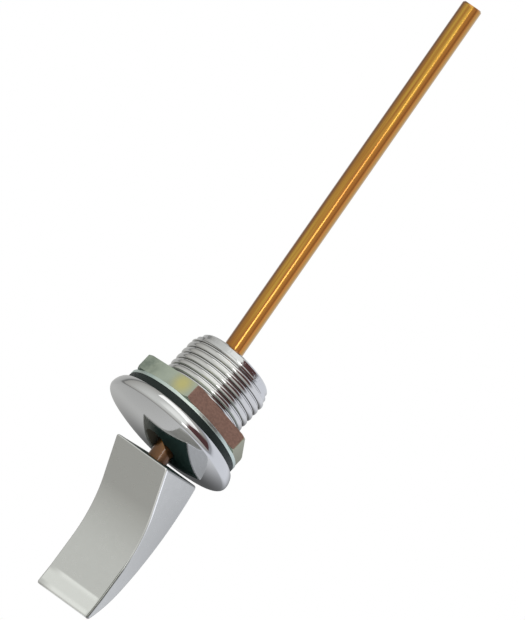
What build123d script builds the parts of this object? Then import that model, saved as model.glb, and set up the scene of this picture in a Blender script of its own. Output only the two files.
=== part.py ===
from build123d import *

import os
from math import acos, asin, atan2, cos, degrees, hypot, radians, sin, sqrt, tan

# A flush lever for the front wall of a cistern. A paddle on a long lift rod rocks on a cross pin
# inside a domed flange with a threaded shank, which a nut and two washers clamp in the wall.
#
# The origin is the centre of the flange's back face. +Y runs along the shank into the cistern,
# +Z is up, and the paddle is on the -Y side. All sizes are in millimetres.
# The lever is drawn pressed down, with its rod stopped by the upper edge of the shank's mouth.

# Domed flange
flange_d = 35.6  # at the fullest part of the rim
seat_d = 34.2  # back face
flange_height = 5.8  # from the back face to the top of the dome
rim_full_depth = 2.1  # from the back face to the fullest part
shoulder_radius = 1.0  # where the dome turns over into the rim
web = 3.0  # metal left in front of the bore, on the axis

# Threaded shank: 7/8 inch with 14 threads per inch, whose ridges are rings here and not a helix
thread_d = 22.225
thread_pitch = 1.814
thread_depth = 0.6134 * thread_pitch  # 60 degree form
ridge_height = 0.55  # of the ridges behind the nut, filled in a little by the plating
crest_width = 0.9
thread_length = 19.1
tip_d = 19.8  # smooth end past the thread
tip_length = 1.7
bore_d = 16.0
tip_chamfer = 0.4

# Washers and nut
nut_across_flats = 29.4
washer_margin = 1.3  # how far both washers reach past the nut's flats
washer_clearance = 0.25  # around the thread
rubber_thickness = 2.1
steel_thickness = 0.9
nut_thickness = 4.2
nut_turn = 9.4  # degrees from +X to the first corner, towards +Z
nut_corner_trim = 0.6  # taken off the corners by the chamfer on both faces
nut_chamfer_angle = 30.0
thread_fit = 0.02  # between the nut and the shank

# Lift rod and its pivot
rod_d = 5.0
rod_reach = 113.2  # from the pivot to the free end
rod_insert = 8.0  # length held in the paddle
rod_chamfer = 0.4
pin_d = 2.0
pin_recess = 0.1  # pin's ends below the root of the thread
pin_fit = 0.01  # held tight in the shank
pivot_clearance = 0.05  # running fit of the rod on the pin
slot_clearance = 0.2  # round the rod, also at the ends of its travel
stop_clearance = 0.33  # between the rod and the shank's mouth
socket_fit = 0.02  # rod held tight in the paddle
socket_end_gap = 0.3

# Paddle
paddle_length = 38.9
paddle_width = 16.3
paddle_height = 16.4  # of the end face, with the rod at its middle
paddle_clearance = 0.42  # between the end face's corner and the dome, at the end of the travel
ramp_length = 12.0  # straight slope down from the end face
ramp_angle = 31.0
scoop_radius = 27.4  # hollow that the thumb presses
lip_angle = 3.0  # gentle rise from the hollow
tip_rise_length = 5.3  # lip along the tip, which rises more
tip_rise_angle = 8.0
belly_angle = 10.0  # how steeply the underside starts
nose_length = 9.4  # last stretch, where the underside turns up to the tip
nose_drop = 4.9  # height of that stretch
tip_edge = 1.3  # thickness of the tip
paddle_corner_radius = 0.7  # between the end face and the sides
paddle_edge_radius = 0.45

# Places along the shank, and what goes over and through it
thread_r = thread_d / 2
grip_r = thread_r - thread_depth / 2  # where nut and shank meet
root_r = thread_r - ridge_height
flank_run = (thread_pitch - crest_width) / 2  # length of a ridge's slope along the shank
washer_r = nut_across_flats / 2 + washer_margin
apex_y = -flange_height
bore_floor_y = apex_y + web
shank_end_y = thread_length + tip_length
nut_y = rubber_thickness + steel_thickness
nut_end_y = nut_y + nut_thickness
pivot_y = nut_y + nut_thickness / 2  # the nut hides the ends of the pin
ridge_count = int((thread_length - nut_end_y - flank_run - crest_width / 2) / thread_pitch)
ridges_y = thread_length - ridge_count * thread_pitch  # start of the whole ridges, after part of one at the nut

# The rod tilts until it meets the mouth of the bore
mouth_distance = shank_end_y - pivot_y
mouth_reach = bore_d / 2 - stop_clearance
tilt = acos(rod_d / 2 / hypot(mouth_distance, mouth_reach)) - atan2(mouth_distance, mouth_reach)

# The slot is as long as the rod's travel needs at the top of the dome
slot_length = 2 * ((pivot_y - apex_y) * tan(tilt) + rod_d / 2 / cos(tilt) + slot_clearance)

# The dome is a round cap, centred on the axis, that meets the shoulder without a crease
shoulder_r = flange_d / 2 - shoulder_radius
shoulder_drop = flange_height - rim_full_depth
dome_radius = (shoulder_r**2 + shoulder_drop**2 - shoulder_radius**2) / (2 * (shoulder_drop - shoulder_radius))
dome_centre_y = apex_y + dome_radius
dome_angle = asin(shoulder_r / (dome_radius - shoulder_radius))
dome_edge = (dome_radius * sin(dome_angle), dome_centre_y - dome_radius * cos(dome_angle))

# The paddle starts where the lower corner of its end face just clears the dome
pivot_depth = dome_centre_y - pivot_y
corner_offset = paddle_height / 2 - pivot_depth * sin(tilt)
corner_distance = sqrt((dome_radius + paddle_clearance) ** 2 - corner_offset**2)
paddle_start = corner_distance - pivot_depth * cos(tilt)


def across(y):
    """The plane across the shank at this distance along it, facing the front, with +Z up."""
    return Plane.XZ.offset(-y)


# Planes of the tilted lever: its side view, and the section of its rod seen from the front
forward = (0, -cos(tilt), -sin(tilt))
lever_side = Plane(origin=(0, pivot_y, 0), x_dir=forward, z_dir=(-1, 0, 0))
lever_section = Plane(origin=(0, pivot_y, 0), x_dir=(1, 0, 0), z_dir=forward)

# Flange and shank, turned as one piece
with BuildPart() as flange_body:
    with BuildSketch(Plane.XY):
        with BuildLine():
            dome = TangentArc((0, apex_y), dome_edge, tangent=(1, 0))
            shoulder = TangentArc(dome @ 1, (flange_d / 2, -rim_full_depth), tangent=dome % 1)
            TangentArc(shoulder @ 1, (seat_d / 2, 0), tangent=(0, 1))
            ridges = [(thread_r, nut_end_y), (thread_r, ridges_y - flank_run), (root_r, ridges_y)]
            for ridge in range(ridge_count):
                ridge_y = ridges_y + ridge * thread_pitch
                ridges.append((thread_r, ridge_y + flank_run))
                ridges.append((thread_r, ridge_y + flank_run + crest_width))
                ridges.append((root_r, ridge_y + thread_pitch))
            Polyline(
                (seat_d / 2, 0),
                (grip_r, 0),
                (grip_r, nut_end_y),
                *ridges,
                (tip_d / 2, thread_length),
                (tip_d / 2, shank_end_y),
                (0, shank_end_y),
                (0, apex_y),
            )
        make_face()
    revolve(axis=Axis.Y)
    outer_edge = flange_body.edges().filter_by(GeomType.CIRCLE).sort_by(Axis.Y)[-1]
    chamfer(outer_edge, tip_chamfer)
    with BuildSketch(across(bore_floor_y)):
        Circle(bore_d / 2)
    extrude(amount=bore_floor_y - shank_end_y, mode=Mode.SUBTRACT)
    with BuildSketch(across(bore_floor_y)):
        SlotOverall(slot_length, rod_d + 2 * slot_clearance, rotation=90)
    extrude(amount=2 * web, mode=Mode.SUBTRACT)
    with BuildSketch(Plane.YZ):
        with Locations((pivot_y, 0)):
            Circle(pin_d / 2 + pin_fit)
    extrude(amount=thread_r, both=True, mode=Mode.SUBTRACT)
flange_body.part.label = "flange_body"

with BuildPart() as rubber_washer:
    with BuildSketch(across(0)):
        Circle(washer_r)
        Circle(thread_r + washer_clearance, mode=Mode.SUBTRACT)
    extrude(amount=-rubber_thickness)
rubber_washer.part.label = "rubber_washer"

with BuildPart() as steel_washer:
    with BuildSketch(across(rubber_thickness)):
        Circle(washer_r)
        Circle(thread_r + washer_clearance, mode=Mode.SUBTRACT)
    extrude(amount=-steel_thickness)
steel_washer.part.label = "steel_washer"

# Nut: a hexagon whose corners are turned back to a chamfer on both faces
nut_corner_r = nut_across_flats / 2 / cos(radians(30))
nut_face_r = nut_corner_r - nut_corner_trim
chamfer_run = nut_thickness / 2 / tan(radians(nut_chamfer_angle))
with BuildPart() as lock_nut:
    with BuildSketch(across(nut_y)):
        RegularPolygon(nut_corner_r, 6, rotation=nut_turn)
    extrude(amount=-nut_thickness)
    with BuildSketch(Plane.XY):
        Polygon(
            (0, nut_y),
            (nut_face_r, nut_y),
            (nut_face_r + chamfer_run, pivot_y),
            (nut_face_r, nut_end_y),
            (0, nut_end_y),
            align=None,
        )
    revolve(axis=Axis.Y, mode=Mode.INTERSECT)
    with BuildSketch(across(nut_y)):
        Circle(grip_r + thread_fit)
    extrude(amount=-nut_thickness, mode=Mode.SUBTRACT)
lock_nut.part.label = "lock_nut"

with BuildPart() as pivot_pin:
    with BuildSketch(Plane.YZ):
        with Locations((pivot_y, 0)):
            Circle(pin_d / 2)
    extrude(amount=thread_r - thread_depth - pin_recess, both=True)
pivot_pin.part.label = "pivot_pin"

with BuildPart() as lift_rod:
    with BuildSketch(lever_section.offset(paddle_start + rod_insert)):
        Circle(rod_d / 2)
    extrude(amount=-(paddle_start + rod_insert + rod_reach))
    rod_ends = lift_rod.edges().filter_by(GeomType.CIRCLE)
    chamfer(rod_ends.sort_by(Axis.Y)[-1], rod_chamfer)
    with BuildSketch(Plane.YZ):
        with Locations((pivot_y, 0)):
            Circle(pin_d / 2 + pivot_clearance)
    extrude(amount=rod_d, both=True, mode=Mode.SUBTRACT)
lift_rod.part.label = "lift_rod"

# Paddle: its side view is drawn forward along the rod and extruded to its width
paddle_end = paddle_start + paddle_length
with BuildPart() as paddle:
    with BuildSketch(lever_side):
        with BuildLine():
            top_corner = (paddle_start, paddle_height / 2)
            ramp = PolarLine(top_corner, ramp_length, -ramp_angle)
            scoop = JernArc(ramp @ 1, ramp % 1, scoop_radius, ramp_angle + lip_angle)
            lip_run = paddle_end - tip_rise_length - (scoop @ 1).X
            lip = PolarLine(scoop @ 1, lip_run / cos(radians(lip_angle)), lip_angle)
            tip_rise = PolarLine(lip @ 1, tip_rise_length / cos(radians(tip_rise_angle)), tip_rise_angle)
            tip_top = tip_rise @ 1
            tip_bottom = (tip_top.X, tip_top.Y - tip_edge)
            Line(tip_top, tip_bottom)
            bottom_corner = (paddle_start, -paddle_height / 2)
            nose_start = (paddle_end - nose_length, tip_bottom[1] - nose_drop)
            belly_slope = (cos(radians(belly_angle)), -sin(radians(belly_angle)))
            belly = TangentArc(bottom_corner, nose_start, tangent=belly_slope)
            TangentArc(belly @ 1, tip_bottom, tangent=belly % 1)
            Line(bottom_corner, top_corner)
        make_face()
    extrude(amount=paddle_width / 2, both=True)
    end_face = paddle.faces().sort_by(Axis.Y)[-1]
    upright = Axis(lever_section.origin, lever_section.y_dir)
    fillet(end_face.edges().filter_by(upright), paddle_corner_radius)
    edge_radius = min(paddle_edge_radius, 0.45 * tip_edge)
    fillet(paddle.edges(), edge_radius)
    with BuildSketch(lever_section.offset(paddle_start)):
        Circle(rod_d / 2 + socket_fit)
    extrude(amount=rod_insert + socket_end_gap, mode=Mode.SUBTRACT)
paddle.part.label = "paddle"

os.makedirs("parts", exist_ok=True)
export_step(flange_body.part, "parts/flange_body.step")
export_step(rubber_washer.part, "parts/rubber_washer.step")
export_step(steel_washer.part, "parts/steel_washer.step")
export_step(lock_nut.part, "parts/lock_nut.step")
export_step(pivot_pin.part, "parts/pivot_pin.step")
export_step(lift_rod.part, "parts/lift_rod.step")
export_step(paddle.part, "parts/paddle.step")
print(f"Lever tilt {degrees(tilt):.3f} degrees, paddle starts {paddle_start:.2f} mm from the pivot")
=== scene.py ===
from math import acos, asin, atan2, cos, hypot, pi, radians, sin, sqrt, tan

import bmesh
import bpy
from mathutils import Matrix, Quaternion, Vector


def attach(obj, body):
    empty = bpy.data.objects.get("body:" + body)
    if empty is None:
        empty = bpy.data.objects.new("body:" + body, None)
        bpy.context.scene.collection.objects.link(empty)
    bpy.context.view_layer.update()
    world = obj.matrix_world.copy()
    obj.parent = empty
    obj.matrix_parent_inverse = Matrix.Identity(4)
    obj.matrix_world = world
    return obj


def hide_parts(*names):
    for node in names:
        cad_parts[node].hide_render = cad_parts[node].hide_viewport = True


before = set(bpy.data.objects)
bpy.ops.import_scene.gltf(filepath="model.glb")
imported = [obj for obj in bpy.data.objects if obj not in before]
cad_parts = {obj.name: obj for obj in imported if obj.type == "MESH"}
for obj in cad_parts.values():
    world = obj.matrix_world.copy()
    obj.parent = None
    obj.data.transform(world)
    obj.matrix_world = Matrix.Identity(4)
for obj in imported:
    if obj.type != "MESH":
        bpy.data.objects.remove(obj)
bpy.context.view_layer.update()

# A flush lever for the front wall of a cistern. The pieces are drawn in millimetres, in the frame
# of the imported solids, and finish_piece() turns them into metres. +Y runs along the shank into the
# cistern, +Z is up, and the paddle is on the -Y side.

mm = 0.001
origin = Vector((0, 0, 0))
x_axis = Vector((1, 0, 0))
y_axis = Vector((0, 1, 0))
z_axis = Vector((0, 0, 1))
quarter_turn = radians(90)

# Domed flange and shank
flange_r = 17.8
seat_r = 17.1
flange_height = 5.8
rim_full_depth = 2.1
shoulder_radius = 1.0
bore_floor_y = -2.8
bore_r = 8.0
bore_edge = 0.25
slot_clearance = 0.2
shank_end_y = 20.8
tip_r = 9.9
tip_chamfer = 0.4

# Thread: 7/8 inch with 14 threads per inch, with worn crests
thread_r = 11.1125
thread_pitch = 1.814
thread_depth = 0.6134 * thread_pitch
thread_first_y = 1.0
thread_end_y = 19.1
ridge_height = 0.55
ridge_sink = 0.15
crest_width = 1.0
crest_rounding = 0.38
root_width = 0.22
core_r = thread_r - ridge_height
grip_r = thread_r - thread_depth / 2

# Washers and nut
washer_r = 16.0
washer_play = 0.25
washer_hole_r = thread_r + washer_play
rubber_thickness = 2.1
rubber_edge = 0.3
steel_thickness = 0.9
steel_edge = 0.15
nut_across_flats = 29.4
nut_thickness = 4.2
nut_turn = radians(9.4)
nut_half_side = radians(30)
nut_chamfer = radians(30)
nut_face_step = 0.6
nut_play = 0.02
nut_sink = 0.2
nut_edge = 0.12
nut_flats_r = nut_across_flats / 2
nut_corner_r = nut_flats_r / cos(nut_half_side)
nut_face_r = nut_corner_r - nut_face_step
nut_bore_r = grip_r + nut_play
nut_mouth_r = thread_r + nut_sink
nut_y = rubber_thickness + steel_thickness
nut_middle_y = nut_y + nut_thickness / 2
nut_end_y = nut_y + nut_thickness

# Lever: rod, pin and paddle
pivot_y = nut_middle_y
rod_r = 2.5
rod_reach = 113.2
rod_insert = 8.0
rod_chamfer = 0.4
pin_hole_r = 1.01
rod_hole_r = 1.05
stop_clearance = 0.33
paddle_length = 38.9
paddle_width = 16.3
paddle_height = 16.4
paddle_clearance = 0.42
ramp_length = 12.0
ramp_angle = radians(31)
scoop_radius = 27.4
lip_angle = radians(3)
tip_rise_length = 5.3
tip_rise_angle = radians(8)
belly_angle = radians(10)
nose_length = 9.4
nose_drop = 4.9
tip_edge = 1.3
tip_rounding = 0.8
paddle_corner_radius = 0.7
paddle_edge_radius = 0.45
socket_play = 0.02
socket_spare = 0.3
socket_r = rod_r + socket_play
socket_depth = rod_insert + socket_spare

# The rod tilts until it meets the mouth of the bore
mouth_distance = shank_end_y - pivot_y
mouth_reach = bore_r - stop_clearance
tilt = acos(rod_r / hypot(mouth_distance, mouth_reach)) - atan2(mouth_distance, mouth_reach)

# The slot is as long as the rod's travel needs at the top of the dome
slot_width = 2 * (rod_r + slot_clearance)
slot_length = 2 * ((pivot_y + flange_height) * tan(tilt) + rod_r / cos(tilt) + slot_clearance)

# The dome is a round cap that meets the shoulder without a crease
shoulder_r = flange_r - shoulder_radius
shoulder_drop = flange_height - rim_full_depth
dome_radius = (shoulder_r**2 + shoulder_drop**2 - shoulder_radius**2) / (
    2 * (shoulder_drop - shoulder_radius)
)
dome_centre_y = dome_radius - flange_height
dome_angle = asin(shoulder_r / (dome_radius - shoulder_radius))
dome_edge = (dome_radius * sin(dome_angle), dome_centre_y - dome_radius * cos(dome_angle))

# The paddle starts where the lower corner of its end face just clears the dome
pivot_depth = dome_centre_y - pivot_y
corner_offset = paddle_height / 2 - pivot_depth * sin(tilt)
corner_reach = sqrt((dome_radius + paddle_clearance) ** 2 - corner_offset**2)
paddle_start = corner_reach - pivot_depth * cos(tilt)
paddle_end = paddle_start + paddle_length

# Lever's own frame: x forward along the rod, y up, z across, with the pivot at its origin
lever_forward = Vector((0, -cos(tilt), -sin(tilt)))
lever_up = Vector((0, -sin(tilt), cos(tilt)))
lever_axes = Matrix((lever_forward, lever_up, (-1, 0, 0))).transposed()
lever_frame = Matrix.Translation((0, pivot_y, 0)) @ lever_axes.to_4x4()

# How far forward the paddle's tip is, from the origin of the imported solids
paddle_tip = lever_frame.translation.dot(lever_forward) + paddle_end

# Meshes: steps of a full turn, how far a tool cuts past a surface, and which edges count as sharp
round_steps = 192
nut_steps = 144
thread_steps = 120
rod_steps = 96
hole_steps = 64
overcut = 1.0
join_distance = 1e-4
sharp_angle = radians(32)
nut_sharp_angle = radians(20)
nut_flat_angle = radians(0.5)

# Faces that take a second or third finish, and how straight a face has to look to be one of them
bore_floor_facing = 0.5
paddle_end_facing = 0.95
bare_bore_index = 1
# The paddle's end face, whose dark finish paints its shade
dark_and_shaded_end_index = 1
# The paddle's rounded edges, whose finish paints a dark reflection and a highlight
edge_chrome_index = 2

# Photograph's view
camera_azimuth = radians(62.9)
camera_elevation = radians(56.9)
camera_roll = radians(-23.1)
camera_lens = 1000
camera_sensor = 36
camera_distance = 3.935
camera_aim = Vector((0.53, 32.29, 9.29)) * mm

# Studio, which the metal mirrors: a floor that is shaded under the lever, a pale room with a brown
# wall on the right, and two lamps. Behind the lever, the camera sees plain white.
white = (1, 1, 1, 1)
floor_z = -40
floor_size = 3
floor_paint = (0.85, 0.85, 0.86, 1)
floor_left = (0.97, 0.97, 0.95, 1)
floor_right = (0.91, 0.93, 1, 1)
floor_colour_ends = (-45 * mm, 35 * mm)
floor_light_ends = (-70 * mm, 45 * mm)
floor_light = (0.66, 1.14)
shade_centre = Vector((-12, -2, floor_z)) * mm
shade_ends = (8 * mm, 48 * mm)
shade_light = 0.12
far_ends = (0.15, 0.5)
far_light = 0.45
room_light = (0.55, 0.55, 0.55, 1)
room_low = (0.54, 0.53, 0.5, 1)
room_high = (0.95, 0.96, 0.93, 1)
room_high_at = 0.85
wall_colour = (0.125, 0.06, 0.06, 1)
wall_foot = radians(-4)
wall_top = radians(50)
wall_blur = radians(5)
wall_near_edge = (-0.1, 0.12)
wall_far_edge = (0.86, 0.62)
wall_trace = 0.04
ceiling_direction = (0.37, 0.25, 0.9)
ceiling_ends = (0.75, 1)
ceiling_light = 1.4
strip_place = (0.57, -0.27, 0.75)
strip_size = (0.2, 0.14)
strip_brightness = 8
back_place = (0.12, 0.8, 0.45)
back_size = (1.1, 0.45)
back_brightness = 1


def line_to(bm, vertex, point):
    """Draws a straight edge from a vertex to a point, and returns its far vertex."""
    far = bmesh.ops.extrude_vert_indiv(bm, verts=[vertex])["verts"][0]
    far.co = Vector(point).to_3d()
    return far


def lines_through(bm, vertex, points, closed=False):
    """Draws straight edges from a vertex through points, and returns the new vertices."""
    corners = [vertex]
    for point in points:
        corners.append(line_to(bm, corners[-1], point))
    if closed:
        bm.edges.new((corners[-1], vertex))
    return corners[1:]


def arc_round(bm, vertex, centre, angle, steps):
    """Draws an arc from a vertex round a centre, and returns its far vertex."""
    swept = bmesh.ops.spin(
        bm, geom=[vertex], cent=centre, axis=z_axis, angle=angle, steps=steps
    )
    return swept["geom_last"][0]


def arc_to(bm, vertex, point, tangent, steps):
    """Draws an arc that leaves a vertex along a tangent and ends at a point.

    Returns its far vertex and the tangent there.
    """
    heading = Vector(tangent).to_3d().normalized()
    side = Vector((-heading.y, heading.x, 0))
    chord = Vector(point).to_3d() - vertex.co
    radius = chord.length_squared / (2 * chord.dot(side))
    angle = 2 * atan2(chord.dot(side), chord.dot(heading))
    far = arc_round(bm, vertex, vertex.co + radius * side, angle, steps)
    return far, Matrix.Rotation(angle, 3, "Z") @ heading


def shift(bm, offset):
    """Moves all of a drawing."""
    bmesh.ops.translate(bm, vec=offset, verts=bm.verts)


def turn(bm, angle, axis):
    """Turns all of a drawing round an axis through the origin."""
    bmesh.ops.rotate(bm, cent=origin, matrix=Matrix.Rotation(angle, 3, axis), verts=bm.verts)


def pull(bm, faces, offset):
    """Extrudes faces by an offset."""
    pulled = bmesh.ops.extrude_face_region(bm, geom=faces)["geom"]
    corners = [part for part in pulled if isinstance(part, bmesh.types.BMVert)]
    bmesh.ops.translate(bm, vec=offset, verts=corners)


def join_doubles(bm):
    """Joins vertices that lie on each other."""
    bmesh.ops.remove_doubles(bm, verts=bm.verts, dist=join_distance)


def close_solid(bm):
    """Joins the seams and poles of a solid and turns its faces outwards."""
    join_doubles(bm)
    bmesh.ops.recalc_face_normals(bm, faces=bm.faces)


def turn_round(bm, axis, steps=round_steps):
    """Spins the drawn profile once round an axis through the origin."""
    profile = bm.verts[:] + bm.edges[:]
    bmesh.ops.spin(
        bm, geom=profile, cent=origin, axis=axis, angle=2 * pi, steps=steps, use_merge=True
    )
    close_solid(bm)


def combine(solid, tool, operation):
    """Cuts or intersects a solid with a tool, which are both used up, and returns the result."""
    objects = []
    for name, bm in (("solid", solid), ("tool", tool)):
        mesh = bpy.data.meshes.new(name)
        bm.to_mesh(mesh)
        bm.free()
        objects.append(bpy.data.objects.new(name, mesh))
        bpy.context.scene.collection.objects.link(objects[-1])
    modifier = objects[0].modifiers.new("combine", "BOOLEAN")
    modifier.operation = operation
    modifier.object = objects[1]
    modifier.solver = "EXACT"
    result = bmesh.new()
    result.from_object(objects[0], bpy.context.evaluated_depsgraph_get())
    for used in objects:
        bpy.data.meshes.remove(used.data)
    close_solid(result)
    return result


def sharp_edges(bm, angle=sharp_angle):
    """Edges at which a solid turns by more than an angle."""
    return [edge for edge in bm.edges if edge.is_manifold and edge.calc_face_angle(0) > angle]


def soften(bm, edges, radius, steps):
    """Rounds edges of a solid, and returns the round faces."""
    rounded = bmesh.ops.bevel(
        bm, geom=edges, offset=radius, affect="EDGES", segments=steps, profile=0.5, material=-1
    )
    return rounded["faces"]


def soften_profile(bm, corners, radius, steps):
    """Rounds corners of a drawn profile."""
    bmesh.ops.bevel(
        bm, geom=corners, offset=radius, affect="VERTICES", segments=steps, profile=0.5, material=-1
    )


def finish_piece(bm, name, body, node, finish, flat_faces=False):
    """Turns a drawn solid into a piece of the lever, in metres."""
    bmesh.ops.scale(bm, vec=(mm, mm, mm), verts=bm.verts)
    for face in bm.faces:
        face.smooth = True
    mesh = bpy.data.meshes.new(name)
    bm.to_mesh(mesh)
    bm.free()
    mesh.set_sharp_from_angle(angle=sharp_angle)
    mesh.materials.append(finish)
    piece = bpy.data.objects.new(name, mesh)
    bpy.context.scene.collection.objects.link(piece)
    if flat_faces:
        modifier = piece.modifiers.new("flat faces", "WEIGHTED_NORMAL")
        modifier.keep_sharp = True
    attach(piece, body)
    if node:
        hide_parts(node)
    return piece


def hole_tool(radius, start, end):
    """A plain round tool along X, for holes."""
    bm = bmesh.new()
    bmesh.ops.create_cone(
        bm, cap_ends=True, segments=hole_steps, radius1=radius, radius2=radius, depth=end - start
    )
    turn(bm, quarter_turn, "Y")
    shift(bm, x_axis * (start + end) / 2)
    return bm


def pin_hole(radius):
    """The tool for the cross hole of the pivot pin."""
    bm = hole_tool(radius, -2 * bore_r, 2 * bore_r)
    shift(bm, (0, pivot_y, 0))
    return bm


def slot_tool():
    """The round-ended slot through the dome, long enough to let the rod rock up and down."""
    bm = bmesh.new()
    bmesh.ops.create_circle(bm, cap_ends=True, segments=hole_steps, radius=slot_width / 2)
    turn(bm, pi / hole_steps, "Z")
    reach = (slot_length - slot_width) / 2
    for vertex in bm.verts:
        vertex.co.y += reach if vertex.co.y > 0 else -reach
    turn(bm, quarter_turn, "X")
    shift(bm, (0, bore_floor_y + overcut, 0))
    pull(bm, bm.faces[:], (0, -flange_height - overcut, 0))
    close_solid(bm)
    return bm


def flange_solid():
    """Dome, rim and hollow shank, turned in one piece, with the slot and the pin's cross hole."""
    bm = bmesh.new()
    apex = bm.verts.new((0, -flange_height, 0))
    dome_end, tangent = arc_to(bm, apex, dome_edge, (1, 0), steps=28)
    rim, tangent = arc_to(bm, dome_end, (flange_r, -rim_full_depth), tangent, steps=20)
    seat, _ = arc_to(bm, rim, (seat_r, 0), tangent, steps=14)
    shank = (
        (core_r, 0),
        (core_r, thread_end_y),
        (tip_r, thread_end_y),
        (tip_r, shank_end_y - tip_chamfer),
        (tip_r - tip_chamfer, shank_end_y),
        (bore_r + bore_edge, shank_end_y),
        (bore_r, shank_end_y - bore_edge),
        (bore_r, bore_floor_y),
        (0, bore_floor_y),
    )
    lines_through(bm, seat, shank)
    turn_round(bm, y_axis)
    bm = combine(bm, slot_tool(), "DIFFERENCE")
    bm = combine(bm, pin_hole(pin_hole_r), "DIFFERENCE")
    for face in bm.faces:
        middle = face.calc_center_median()
        inward = face.normal.x * middle.x + face.normal.z * middle.z < 0
        in_bore = hypot(middle.x, middle.z) < bore_r + bore_edge / 2
        below_mouth = middle.y < shank_end_y - bore_edge
        if in_bore and below_mouth and (inward or face.normal.y > bore_floor_facing):
            face.material_index = bare_bore_index
    return bm


def thread_ridge():
    """The thread's ridge, a rounded wedge wound right-handed and run out under the smooth tip."""
    bm = bmesh.new()
    foot_r = core_r - ridge_sink
    half_crest = crest_width / 2
    half_foot = (thread_pitch - root_width) / 2
    first = bm.verts.new((foot_r, -half_foot, 0))
    section = (
        (core_r, -half_foot),
        (thread_r, -half_crest),
        (thread_r, half_crest),
        (core_r, half_foot),
        (foot_r, half_foot),
    )
    corners = lines_through(bm, first, section, closed=True)
    soften_profile(bm, corners[1:3], crest_rounding, steps=5)
    bmesh.ops.contextual_create(bm, geom=bm.edges[:])
    shift(bm, (0, thread_first_y, 0))
    turns = (thread_end_y + thread_pitch / 2 - thread_first_y) / thread_pitch
    bmesh.ops.spin(
        bm,
        geom=bm.verts[:] + bm.edges[:] + bm.faces[:],
        cent=origin,
        axis=y_axis,
        dvec=(0, thread_pitch / thread_steps, 0),
        angle=2 * pi * turns,
        steps=round(turns * thread_steps),
    )
    for vertex in bm.verts:
        reach = hypot(vertex.co.x, vertex.co.z)
        limit = tip_r + thread_end_y - vertex.co.y
        if reach > limit:
            vertex.co.x *= limit / reach
            vertex.co.z *= limit / reach
    close_solid(bm)
    return bm


def washer_solid(start, end, edge_radius):
    """A flat ring round the shank with softened edges."""
    bm = bmesh.new()
    first = bm.verts.new((washer_hole_r, start, 0))
    lines_through(
        bm, first, ((washer_r, start), (washer_r, end), (washer_hole_r, end)), closed=True
    )
    soften_profile(bm, bm.verts[:], edge_radius, steps=4)
    turn_round(bm, y_axis)
    return bm


def nut_solid():
    """A hexagon whose corners are turned back to a chamfer, with a countersunk bore."""
    lens = bmesh.new()
    run = nut_thickness / 2 / tan(nut_chamfer)
    sink = nut_mouth_r - nut_bore_r
    first = lens.verts.new((nut_bore_r, nut_y + sink, 0))
    section = (
        (nut_mouth_r, nut_y),
        (nut_face_r, nut_y),
        (nut_face_r + run, nut_middle_y),
        (nut_face_r, nut_end_y),
        (nut_mouth_r, nut_end_y),
        (nut_bore_r, nut_end_y - sink),
    )
    lines_through(lens, first, section, closed=True)
    turn_round(lens, y_axis, nut_steps)
    hexagon = bmesh.new()
    bmesh.ops.create_cone(
        hexagon,
        cap_ends=True,
        segments=6,
        radius1=nut_corner_r,
        radius2=nut_corner_r,
        depth=3 * nut_thickness,
    )
    turn(hexagon, quarter_turn, "X")
    corner = max(hexagon.verts, key=lambda vertex: vertex.co.x)
    turn(hexagon, atan2(corner.co.z, corner.co.x) - nut_turn, "Y")
    shift(hexagon, (0, nut_middle_y, 0))
    bm = combine(lens, hexagon, "INTERSECT")
    bmesh.ops.dissolve_limit(bm, angle_limit=nut_flat_angle, verts=bm.verts, edges=bm.edges)
    soften(bm, sharp_edges(bm, nut_sharp_angle), nut_edge, steps=2)
    return bm


def rod_solid():
    """The straight lift rod, with a chamfered free end and the pin's cross hole."""
    bm = bmesh.new()
    front = paddle_start + rod_insert
    first = bm.verts.new((front, 0, 0))
    section = (
        (front, rod_r),
        (rod_chamfer - rod_reach, rod_r),
        (-rod_reach, rod_r - rod_chamfer),
        (-rod_reach, 0),
    )
    lines_through(bm, first, section)
    turn_round(bm, x_axis, rod_steps)
    bmesh.ops.transform(bm, matrix=lever_frame, verts=bm.verts)
    return combine(bm, pin_hole(rod_hole_r), "DIFFERENCE")


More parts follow.
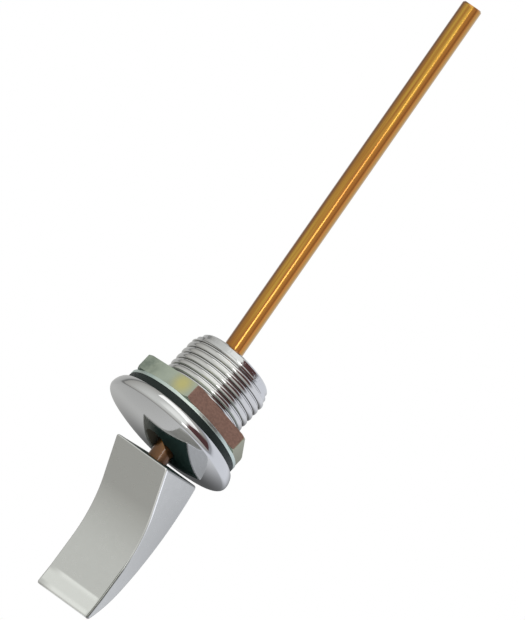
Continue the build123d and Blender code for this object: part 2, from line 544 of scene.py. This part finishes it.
def paddle_solid():
    """The thumb's wedge: a ramp, a hollow and a lip on top, a round belly and nose below."""
    bm = bmesh.new()
    top_corner = bm.verts.new((paddle_start, paddle_height / 2, 0))
    slope = Vector((cos(ramp_angle), -sin(ramp_angle), 0))
    ramp = line_to(bm, top_corner, top_corner.co + ramp_length * slope)
    hollow_centre = ramp.co + scoop_radius * Vector((-slope.y, slope.x, 0))
    hollow = arc_round(bm, ramp, hollow_centre, ramp_angle + lip_angle, steps=36)
    lip_run = paddle_end - tip_rise_length - hollow.co.x
    lip = line_to(bm, hollow, hollow.co + Vector((lip_run, lip_run * tan(lip_angle), 0)))
    tip_rise = Vector((tip_rise_length, tip_rise_length * tan(tip_rise_angle), 0))
    tip_top = line_to(bm, lip, lip.co + tip_rise)
    tip_corner = tip_top.co.copy()
    tip_bottom = line_to(bm, tip_top, tip_top.co - Vector((0, tip_edge, 0)))
    nose_start = Vector((paddle_end - nose_length, tip_bottom.co.y - nose_drop, 0))
    bottom_corner = bm.verts.new((paddle_start, -paddle_height / 2, 0))
    belly_tangent = (cos(belly_angle), -sin(belly_angle))
    belly, tangent = arc_to(bm, bottom_corner, nose_start, belly_tangent, steps=28)
    arc_to(bm, belly, tip_bottom.co, tangent, steps=14)
    bm.edges.new((bottom_corner, top_corner))
    join_doubles(bm)
    side = bmesh.ops.contextual_create(bm, geom=bm.edges[:])["faces"]
    pull(bm, side, (0, 0, paddle_width))
    shift(bm, (0, 0, -paddle_width / 2))
    close_solid(bm)
    upright = [
        edge
        for edge in bm.edges
        if all(abs(vertex.co.x - paddle_start) < join_distance for vertex in edge.verts)
        and abs(edge.verts[0].co.y - edge.verts[1].co.y) > paddle_height / 2
    ]
    soften(bm, upright, paddle_corner_radius, steps=5)
    tip_front = [
        edge
        for edge in bm.edges
        if all((vertex.co - tip_corner).xy.length < join_distance for vertex in edge.verts)
    ]
    soften(bm, tip_front, tip_rounding, steps=6)
    # The rounded edges take a finish with a painted dark reflection and a painted highlight.
    for face in soften(bm, sharp_edges(bm), paddle_edge_radius, steps=5):
        face.material_index = edge_chrome_index
    for face in bm.faces:
        # The end face takes the dark finish that paints its shade.
        if face.normal.x < -paddle_end_facing:
            face.material_index = dark_and_shaded_end_index
    socket = hole_tool(socket_r, paddle_start - overcut, paddle_start + socket_depth)
    bm = combine(bm, socket, "DIFFERENCE")
    bmesh.ops.transform(bm, matrix=lever_frame, verts=bm.verts)
    return bm


def measure(tree, operation, place, other):
    """Measures a place against a direction or another place."""
    node = tree.nodes.new("ShaderNodeVectorMath")
    node.operation = operation
    node.inputs[1].default_value = other
    tree.links.new(place, node.inputs[0])
    return node.outputs["Value"]


def spread(tree, value, start, end, low=0, high=1, curve="SMOOTHSTEP"):
    """An amount that goes from low to high as a value goes from start to end."""
    node = tree.nodes.new("ShaderNodeMapRange")
    node.interpolation_type = curve
    ends = (("From Min", start), ("From Max", end), ("To Min", low), ("To Max", high))
    for name, number in ends:
        node.inputs[name].default_value = number
    tree.links.new(value, node.inputs["Value"])
    return node.outputs["Result"]


def blend(tree, kind, amount, first, second):
    """Goes from a first number or colour to a second one by amount."""
    node = tree.nodes.new("ShaderNodeMix")
    node.data_type = kind
    tree.links.new(amount, node.inputs["Factor"])
    for name, source in (("A", first), ("B", second)):
        if isinstance(source, bpy.types.NodeSocket):
            tree.links.new(source, node.inputs[name])
        else:
            node.inputs[name].default_value = source
    return node.outputs["Result"]


def product(tree, first, *others):
    """Amounts times each other."""
    for other in others:
        node = tree.nodes.new("ShaderNodeMath")
        node.operation = "MULTIPLY"
        tree.links.new(first, node.inputs[0])
        tree.links.new(other, node.inputs[1])
        first = node.outputs[0]
    return first


class Finish:
    """A node material that reads Object coordinates. Its places and depths are in millimetres."""

    grain_ends = (0.3, 0.7)
    spot_ends = (0.4, 0.6)

    def __init__(self, name, metallic=1.0):
        self.material = bpy.data.materials.new(name)
        self.material.use_nodes = True
        self.tree = self.material.node_tree
        self.shader = self.tree.nodes["Principled BSDF"]
        self.place = self.tree.nodes.new("ShaderNodeTexCoord").outputs["Object"]
        self.set("Metallic", metallic)

    def set(self, name, value):
        """Sets one of the shader's values all over."""
        self.shader.inputs[name].default_value = value

    def paint(self, colour):
        """One colour all over, for tints to vary."""
        self.set("Base Color", (*colour, 1))

    def colours(self, amount, *stops):
        """Colour by amount, from stops of place and colour."""
        ramp = self.tree.nodes.new("ShaderNodeValToRGB")
        elements = ramp.color_ramp.elements
        while len(elements) < len(stops):
            elements.new(0.5)
        for element, (place, colour) in zip(elements, stops):
            element.position = place
            element.color = (*colour, 1)
        self.tree.links.new(amount, ramp.inputs["Fac"])
        self.tree.links.new(ramp.outputs["Color"], self.shader.inputs["Base Color"])

    def grain(self, scale, detail=3, stretch=(1, 1, 1), turned=(0, 0, 0)):
        """Uneven light and dark, stretched along the axes of a turned piece."""
        mapping = self.tree.nodes.new("ShaderNodeMapping")
        mapping.vector_type = "TEXTURE"
        mapping.inputs["Rotation"].default_value = turned
        mapping.inputs["Scale"].default_value = stretch
        noise = self.tree.nodes.new("ShaderNodeTexNoise")
        noise.inputs["Scale"].default_value = scale
        noise.inputs["Detail"].default_value = detail
        self.tree.links.new(self.place, mapping.inputs["Vector"])
        self.tree.links.new(mapping.outputs["Vector"], noise.inputs["Vector"])
        return noise.outputs["Fac"]

    def spots(self, scale, stretch):
        """Grain with clear edges between its light and dark places."""
        grain = self.grain(scale, stretch=stretch)
        return spread(self.tree, grain, *self.spot_ends, curve="LINEAR")

    def along(self, direction, start, end):
        """Amount that rises from 0 to 1 between two places along a direction."""
        reach = measure(self.tree, "DOT_PRODUCT", self.place, direction)
        return spread(self.tree, reach, start * mm, end * mm)

    def round_about(self, centre, core, reach):
        """Amount that falls from 1 at a core round a place to 0 at its reach."""
        distance = measure(self.tree, "DISTANCE", self.place, centre * mm)
        return spread(self.tree, distance, reach * mm, core * mm)

    def off_axis(self, start, end):
        """Amount that rises from 0 to 1 between two distances from the shank's axis."""
        flat = self.tree.nodes.new("ShaderNodeVectorMath")
        flat.operation = "MULTIPLY"
        flat.inputs[1].default_value = (1, 0, 1)
        self.tree.links.new(self.place, flat.inputs[0])
        distance = measure(self.tree, "DISTANCE", flat.outputs["Vector"], origin)
        return spread(self.tree, distance, start * mm, end * mm)

    def where_all(self, *amounts):
        """Amount that is full only where all of the amounts are."""
        return product(self.tree, *amounts)

    def change(self, name, amount, value):
        """Changes one of the shader's values by amount."""
        socket = self.shader.inputs[name]
        before = socket.links[0].from_socket if socket.is_linked else socket.default_value
        kind = "RGBA" if socket.type == "RGBA" else "FLOAT"
        self.tree.links.new(blend(self.tree, kind, amount, before, value), socket)

    def tint(self, amount, colour):
        """Changes the colour by amount."""
        self.change("Base Color", amount, (*colour, 1))

    def gloss(self, amount, low, high):
        """Roughness by amount."""
        roughness = spread(self.tree, amount, *self.grain_ends, low, high, curve="LINEAR")
        self.tree.links.new(roughness, self.shader.inputs["Roughness"])

    def relief(self, amount, depth):
        """Small bumps, on top of those that are there."""
        bump = self.tree.nodes.new("ShaderNodeBump")
        bump.inputs["Strength"].default_value = 1
        bump.inputs["Distance"].default_value = depth * mm
        self.tree.links.new(amount, bump.inputs["Height"])
        normal = self.shader.inputs["Normal"]
        if normal.is_linked:
            self.tree.links.new(normal.links[0].from_socket, bump.inputs["Normal"])
        self.tree.links.new(bump.outputs["Normal"], normal)


def polished_chrome():
    """Mirror chrome on the flange, rough on the shank's tip past the thread."""
    finish = Finish("polished_chrome")
    finish.paint((0.54, 0.545, 0.55))
    finish.gloss(finish.grain(900), low=0.04, high=0.09)
    finish.relief(finish.grain(260, detail=1), depth=0.004)
    shank_tip = finish.along(y_axis, thread_end_y - 0.3, thread_end_y)
    finish.relief(finish.where_all(shank_tip, finish.grain(900)), depth=0.12)
    return finish.material


def plated_thread():
    """Chrome on the thread, darkened in its roots by painted shade and by oil."""
    root_shade_and_oil = (0.22, 0.215, 0.2)
    finish = Finish("plated_thread")
    finish.paint((0.56, 0.56, 0.555))
    # Painted shade and oil darken the thread's roots.
    finish.tint(finish.off_axis(core_r + 0.4, core_r), root_shade_and_oil)
    finish.gloss(finish.grain(1200), low=0.08, high=0.18)
    finish.relief(finish.grain(1500, detail=2), depth=0.006)
    return finish.material


def satin_chrome():
    """Satin chrome on the paddle, with a painted highlight on the lip that is brightest on its
    crease.
    """
    painted_crease_highlight = (0.78, 0.79, 0.77)
    painted_lip_highlight = (0.69, 0.7, 0.68)
    side = paddle_width / 2
    lip_start = paddle_tip - tip_rise_length
    finish = Finish("satin_chrome")
    finish.paint((0.53, 0.535, 0.52))
    # Painted highlight along the lip's crease.
    crease = finish.where_all(
        finish.along(-x_axis, side - 0.4, side - 5),
        finish.along(x_axis, side - 0.3, side - 1.2),
        finish.along(lever_forward, lip_start - 0.3, lip_start + 0.2),
    )
    finish.tint(crease, painted_crease_highlight)
    # Painted highlight on the lip.
    lip = finish.where_all(
        finish.along(lever_forward, lip_start + 0.2, lip_start + 1.4),
        finish.along(x_axis, side - 0.2, side - 0.7),
        finish.along(lever_forward, paddle_tip - 1.1, paddle_tip - 1.9),
    )
    finish.tint(lip, painted_lip_highlight)
    finish.gloss(finish.grain(700), low=0.26, high=0.38)
    finish.relief(finish.grain(4200, detail=4), depth=0.008)
    return finish.material


def edge_chrome_painted_light():
    """Smoother chrome on the paddle's edges, with a painted dark reflection and a painted highlight
    along the right one.
    """
    dark_tint = (0.2, 0.205, 0.19)
    painted_edge_highlight = (0.9, 0.905, 0.9)
    side = paddle_width / 2
    finish = Finish("edge_chrome_painted_light")
    finish.paint((0.58, 0.585, 0.575))
    right_side = finish.along(x_axis, side - 0.8, side - 0.5)
    near_tip = finish.along(lever_forward, paddle_tip - 19, paddle_tip - 12)
    # Painted dark reflection along the right edge, towards the tip.
    finish.tint(finish.where_all(near_tip, right_side), dark_tint)
    near_flange = finish.along(lever_forward, paddle_tip - 22, paddle_tip - 30)
    # Painted highlight along the right edge, towards the flange.
    finish.tint(finish.where_all(near_flange, right_side), painted_edge_highlight)
    finish.gloss(finish.grain(900), low=0.2, high=0.28)
    return finish.material


def golden_brass():
    """Lacquered brass, drawn lengthwise, with painted reflection bands and a painted dark edge along
    its upper side, and a darker, dull front end.
    """
    red_streak = (0.31, 0.11, 0.01)
    gold_streak = (0.39, 0.178, 0.016)
    pale_streak = (0.48, 0.27, 0.03)
    orange_reflection_band = (0.54, 0.195, 0.028)
    yellow_reflection_band = (0.41, 0.212, 0.034)
    painted_dark_edge = (0.31, 0.125, 0.028)
    darker_front_brown = (0.19, 0.085, 0.03)
    drawn = (tilt, 0, 0)
    upper_side = Vector((0.474, 0, 0.867))
    across = upper_side.cross(lever_forward).normalized()
    middle = lever_frame.translation.dot(across)
    finish = Finish("golden_brass")
    streaks = finish.grain(1300, detail=4, stretch=(1, 40, 1), turned=drawn)
    finish.colours(streaks, (0.36, red_streak), (0.5, gold_streak), (0.64, pale_streak))
    # Painted reflection bands in the plating's orange and yellow tints on one side of the rod's top,
    # and a painted dark edge on the other.
    finish.tint(finish.along(across, middle + 0.1, middle + 1), orange_reflection_band)
    finish.tint(finish.along(across, middle + 1.4, middle + 2), yellow_reflection_band)
    finish.tint(finish.along(-across, 1.4 - middle, 2.3 - middle), painted_dark_edge)
    # Darker brown and rougher towards the paddle.
    front_end = finish.along(-y_axis, 1, 6)
    finish.tint(front_end, darker_front_brown)
    finish.gloss(streaks, low=0.14, high=0.24)
    finish.change("Roughness", front_end, 0.5)
    scratches = finish.grain(2500, stretch=(1, 50, 1), turned=drawn)
    finish.relief(scratches, depth=0.002)
    finish.set("Coat Weight", 0.6)
    finish.set("Coat Roughness", 0.15)
    return finish.material


def black_rubber():
    """Matt moulded rubber."""
    finish = Finish("black_rubber", metallic=0)
    finish.paint((0.006, 0.014, 0.012))
    finish.set("Specular IOR Level", 0.3)
    finish.gloss(finish.grain(1500), low=0.42, high=0.62)
    finish.relief(finish.grain(5000), depth=0.02)
    return finish.material


def zinc_washer():
    """Pale zinc plating, a little cloudy."""
    finish = Finish("zinc_washer")
    finish.colours(finish.grain(180), (0.35, (0.46, 0.56, 0.53)), (0.65, (0.58, 0.64, 0.6)))
    finish.gloss(finish.grain(1200), low=0.28, high=0.42)
    finish.relief(finish.grain(3000), depth=0.01)
    return finish.material


def on_nut_flat(finish, flat):
    """Amount that is full on one of the nut's flats, which is given by its turn."""
    outward = (cos(flat), 0, sin(flat))
    return finish.along(outward, nut_flats_r - 0.25, nut_flats_r - 0.08)


def nut_flat_place(flat, share, across):
    """A place on one of the nut's flats, at a share of its thickness and a distance across."""
    place = Vector((nut_flats_r, nut_y + share * nut_thickness, across))
    return Matrix.Rotation(-flat, 3, "Y") @ place


def zinc_nut():
    """Greenish zinc plating, with a painted brown reflection on one flat, a warmer tone on the flat
    below it, and a yellow stain and a darker mottled end on the flat above it.
    """
    painted_brown_reflection = (0.33, 0.19, 0.145)
    brown_reflection_spots = (0.26, 0.15, 0.115)
    warm_zinc = (0.38, 0.39, 0.28)
    yellow_stain = (0.56, 0.52, 0.23)
    dark_tint = (0.1, 0.13, 0.11)
    brown_flat = nut_turn + nut_half_side
    warm_flat = brown_flat - 2 * nut_half_side
    yellow_flat = brown_flat + 2 * nut_half_side
    finish = Finish("zinc_nut")
    finish.colours(
        finish.grain(110, detail=2),
        (0.35, (0.36, 0.41, 0.35)),
        (0.5, (0.43, 0.48, 0.4)),
        (0.65, (0.46, 0.49, 0.38)),
    )
    # A painted brown reflection on one flat, made less metallic so that it stays brown, and mottled
    # with darker spots.
    brown_reflection_mask = on_nut_flat(finish, brown_flat)
    finish.change("Metallic", brown_reflection_mask, 0.1)
    finish.tint(brown_reflection_mask, painted_brown_reflection)
    finish.tint(finish.where_all(brown_reflection_mask, finish.spots(2100, stretch=(1, 1, 1.4))), brown_reflection_spots)
    finish.tint(on_nut_flat(finish, warm_flat), warm_zinc)
    stain = nut_flat_place(yellow_flat, share=0.55, across=-4.6)
    finish.tint(finish.round_about(stain, core=0.3, reach=4.2), yellow_stain)
    # One end of the flat above the brown one is darker and mottled.
    mottled_end = finish.round_about(nut_flat_place(yellow_flat, share=0.5, across=7.5), core=1, reach=7)
    finish.tint(finish.where_all(mottled_end, finish.grain(700, detail=4)), dark_tint)
    finish.gloss(finish.grain(1200), low=0.32, high=0.4)
    finish.relief(finish.grain(2600), depth=0.006)
    return finish.material


def bare_bore():
    """Dull bare metal inside the shank."""
    finish = Finish("bare_bore", metallic=0.4)
    finish.paint((0.16, 0.16, 0.13))
    finish.gloss(finish.grain(1500), low=0.5, high=0.7)
    finish.relief(finish.grain(3000), depth=0.02)
    return finish.material


def dark_and_shaded_end():
    """The paddle's end face, dark and matt: a dark finish that also paints the shade between the
    paddle and the dome, and paler on the left as painted light.
    """
    finish = Finish("dark_and_shaded_end", metallic=0)
    finish.paint((0.06, 0.12, 0.105))
    # Painted light makes the end face paler on the left.
    finish.tint(finish.along(-x_axis, 1, 8), (0.5, 0.51, 0.46))
    finish.set("Specular IOR Level", 0.3)
    finish.gloss(finish.grain(1500), low=0.4, high=0.6)
    finish.relief(finish.grain(3000), depth=0.02)
    return finish.material


def plain_steel():
    """Bright steel on the pivot pin."""
    finish = Finish("plain_steel")
    finish.paint((0.5, 0.5, 0.5))
    finish.gloss(finish.grain(1500), low=0.22, high=0.38)
    return finish.material


def show_by_ray(tree, seen, mirrored, lit, output):
    """Shows one shader to the camera, one in metal and glass, and one to the rest of the light."""
    path = tree.nodes.new("ShaderNodeLightPath")
    either = tree.nodes.new("ShaderNodeMath")
    either.operation = "MAXIMUM"
    tree.links.new(path.outputs["Is Glossy Ray"], either.inputs[0])
    tree.links.new(path.outputs["Is Transmission Ray"], either.inputs[1])
    shown = lit
    for rays, shader in ((either.outputs[0], mirrored), (path.outputs["Is Camera Ray"], seen)):
        mix = tree.nodes.new("ShaderNodeMixShader")
        tree.links.new(rays, mix.inputs[0])
        tree.links.new(shown, mix.inputs[1])
        tree.links.new(shader, mix.inputs[2])
        shown = mix.outputs[0]
    tree.links.new(shown, output)


def floor_brightness(tree, place):
    """Brighter on the right, shaded under the lever, and dim far away."""
    to_right = measure(tree, "DOT_PRODUCT", place, x_axis)
    distance = measure(tree, "DISTANCE", place, shade_centre)
    return product(
        tree,
        spread(tree, to_right, *floor_light_ends, *floor_light),
        spread(tree, distance, *shade_ends, shade_light, 1),
        spread(tree, distance, *far_ends, 1, far_light),
    )


def studio_floor():
    """A wide pale floor below the lever."""
    bm = bmesh.new()
    bmesh.ops.create_grid(bm, x_segments=1, y_segments=1, size=floor_size)
    shift(bm, (0, 0, floor_z * mm))
    mesh = bpy.data.meshes.new("floor")
    bm.to_mesh(mesh)
    bm.free()
    pale = bpy.data.materials.new("pale_floor")
    pale.use_nodes = True
    tree = pale.node_tree
    tree.nodes.clear()
    output = tree.nodes.new("ShaderNodeOutputMaterial")
    seen = tree.nodes.new("ShaderNodeEmission")
    seen.inputs["Color"].default_value = white
    lit = tree.nodes.new("ShaderNodeBsdfDiffuse")
    lit.inputs["Color"].default_value = floor_paint
    mirrored = tree.nodes.new("ShaderNodeEmission")
    place = tree.nodes.new("ShaderNodeTexCoord").outputs["Object"]
    to_right = spread(tree, measure(tree, "DOT_PRODUCT", place, x_axis), *floor_colour_ends)
    colour = blend(tree, "RGBA", to_right, floor_left, floor_right)
    tree.links.new(colour, mirrored.inputs["Color"])
    tree.links.new(floor_brightness(tree, place), mirrored.inputs["Strength"])
    show_by_ray(
        tree, seen.outputs[0], mirrored.outputs[0], lit.outputs[0], output.inputs["Surface"]
    )
    mesh.materials.append(pale)
    floor = bpy.data.objects.new("floor", mesh)
    bpy.context.scene.collection.objects.link(floor)


def studio_world():
    """A room that is paler higher up, with a brown wall on the right and a bright ceiling."""
    world = bpy.data.worlds.new("studio")
    bpy.context.scene.world = world
    world.use_nodes = True
    tree = world.node_tree
    tree.nodes.clear()
    output = tree.nodes.new("ShaderNodeOutputWorld")
    seen = tree.nodes.new("ShaderNodeBackground")
    seen.inputs["Color"].default_value = white
    lit = tree.nodes.new("ShaderNodeBackground")
    lit.inputs["Color"].default_value = room_light
    mirrored = tree.nodes.new("ShaderNodeBackground")
    direction = tree.nodes.new("ShaderNodeTexCoord").outputs["Generated"]
    parts = tree.nodes.new("ShaderNodeSeparateXYZ")
    tree.links.new(direction, parts.inputs[0])
    room = tree.nodes.new("ShaderNodeValToRGB")
    low_stop, high_stop = room.color_ramp.elements
    low_stop.position, low_stop.color = 0, room_low
    high_stop.position, high_stop.color = room_high_at, room_high
    tree.links.new(parts.outputs["Z"], room.inputs["Fac"])
    slope = tree.nodes.new("ShaderNodeMath")
    slope.operation = "ARCTAN2"
    tree.links.new(parts.outputs["Z"], slope.inputs[0])
    tree.links.new(parts.outputs["X"], slope.inputs[1])
    depth = measure(tree, "DOT_PRODUCT", direction, y_axis)
    wall = product(
        tree,
        spread(tree, slope.outputs[0], wall_foot - wall_blur, wall_foot + wall_blur),
        spread(tree, slope.outputs[0], wall_top + wall_blur, wall_top - wall_blur),
        spread(tree, depth, *wall_near_edge, wall_trace, 1),
        spread(tree, depth, *wall_far_edge, wall_trace, 1),
    )
    colour = blend(tree, "RGBA", wall, room.outputs["Color"], wall_colour)
    tree.links.new(colour, mirrored.inputs["Color"])
    upwards = measure(tree, "DOT_PRODUCT", direction, ceiling_direction)
    ceiling = spread(tree, upwards, *ceiling_ends, 1, ceiling_light)
    tree.links.new(ceiling, mirrored.inputs["Strength"])
    show_by_ray(
        tree, seen.outputs[0], mirrored.outputs[0], lit.outputs[0], output.inputs["Surface"]
    )


def soft_light(name, place, size, brightness):
    """A flat lamp that faces the lever, as bright as a surface of that strength."""
    width, depth = size
    lamp = bpy.data.lights.new(name, "AREA")
    lamp.shape = "RECTANGLE"
    lamp.size = width
    lamp.size_y = depth
    lamp.energy = brightness * pi * width * depth
    lamp_object = bpy.data.objects.new(name, lamp)
    lamp_object.location = place
    lamp_object.rotation_mode = "QUATERNION"
    lamp_object.rotation_quaternion = Vector(place).to_track_quat("Z", "Y")
    lamp_object.visible_camera = False
    bpy.context.scene.collection.objects.link(lamp_object)


def photograph_camera():
    """The camera at the photograph's viewing angle, far away with a long lens."""
    camera = bpy.data.cameras.new("camera")
    camera.lens = camera_lens
    camera.sensor_width = camera_sensor
    camera_object = bpy.data.objects.new("camera", camera)
    back = Vector((sin(camera_azimuth), -cos(camera_azimuth), tan(camera_elevation))).normalized()
    camera_object.location = camera_aim + camera_distance * back
    camera_object.rotation_mode = "QUATERNION"
    level = (-back).to_track_quat("-Z", "Y")
    camera_object.rotation_quaternion = level @ Quaternion(z_axis, camera_roll)
    bpy.context.scene.collection.objects.link(camera_object)
    bpy.context.scene.camera = camera_object


flange = finish_piece(
    flange_solid(), "flange", "fitting", "flange_body", polished_chrome()
)
flange.data.materials.append(bare_bore())
finish_piece(thread_ridge(), "thread", "fitting", None, plated_thread())
rubber = washer_solid(0, rubber_thickness, rubber_edge)
finish_piece(rubber, "rubber_ring", "fitting", "rubber_washer", black_rubber())
steel = washer_solid(rubber_thickness, nut_y, steel_edge)
finish_piece(steel, "flat_washer", "fitting", "steel_washer", zinc_washer())
finish_piece(
    nut_solid(), "hexagon_nut", "fitting", "lock_nut", zinc_nut(), flat_faces=True
)
finish_piece(rod_solid(), "rod", "lever", "lift_rod", golden_brass())
wedge = paddle_solid()
paddle = finish_piece(
    wedge, "thumb_paddle", "lever", "paddle", satin_chrome(), flat_faces=True
)
# The end face's dark finish paints the shade between the paddle and the dome.
paddle.data.materials.append(dark_and_shaded_end())
# The edge finish paints a dark reflection and a highlight along the right edge.
paddle.data.materials.append(edge_chrome_painted_light())
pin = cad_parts["pivot_pin"]
pin.data.materials.clear()
pin.data.materials.append(plain_steel())

studio_floor()
studio_world()
soft_light("strip_light", strip_place, strip_size, strip_brightness)
soft_light("back_light", back_place, back_size, back_brightness)
photograph_camera()
bpy.context.scene.view_settings.view_transform = "Standard"
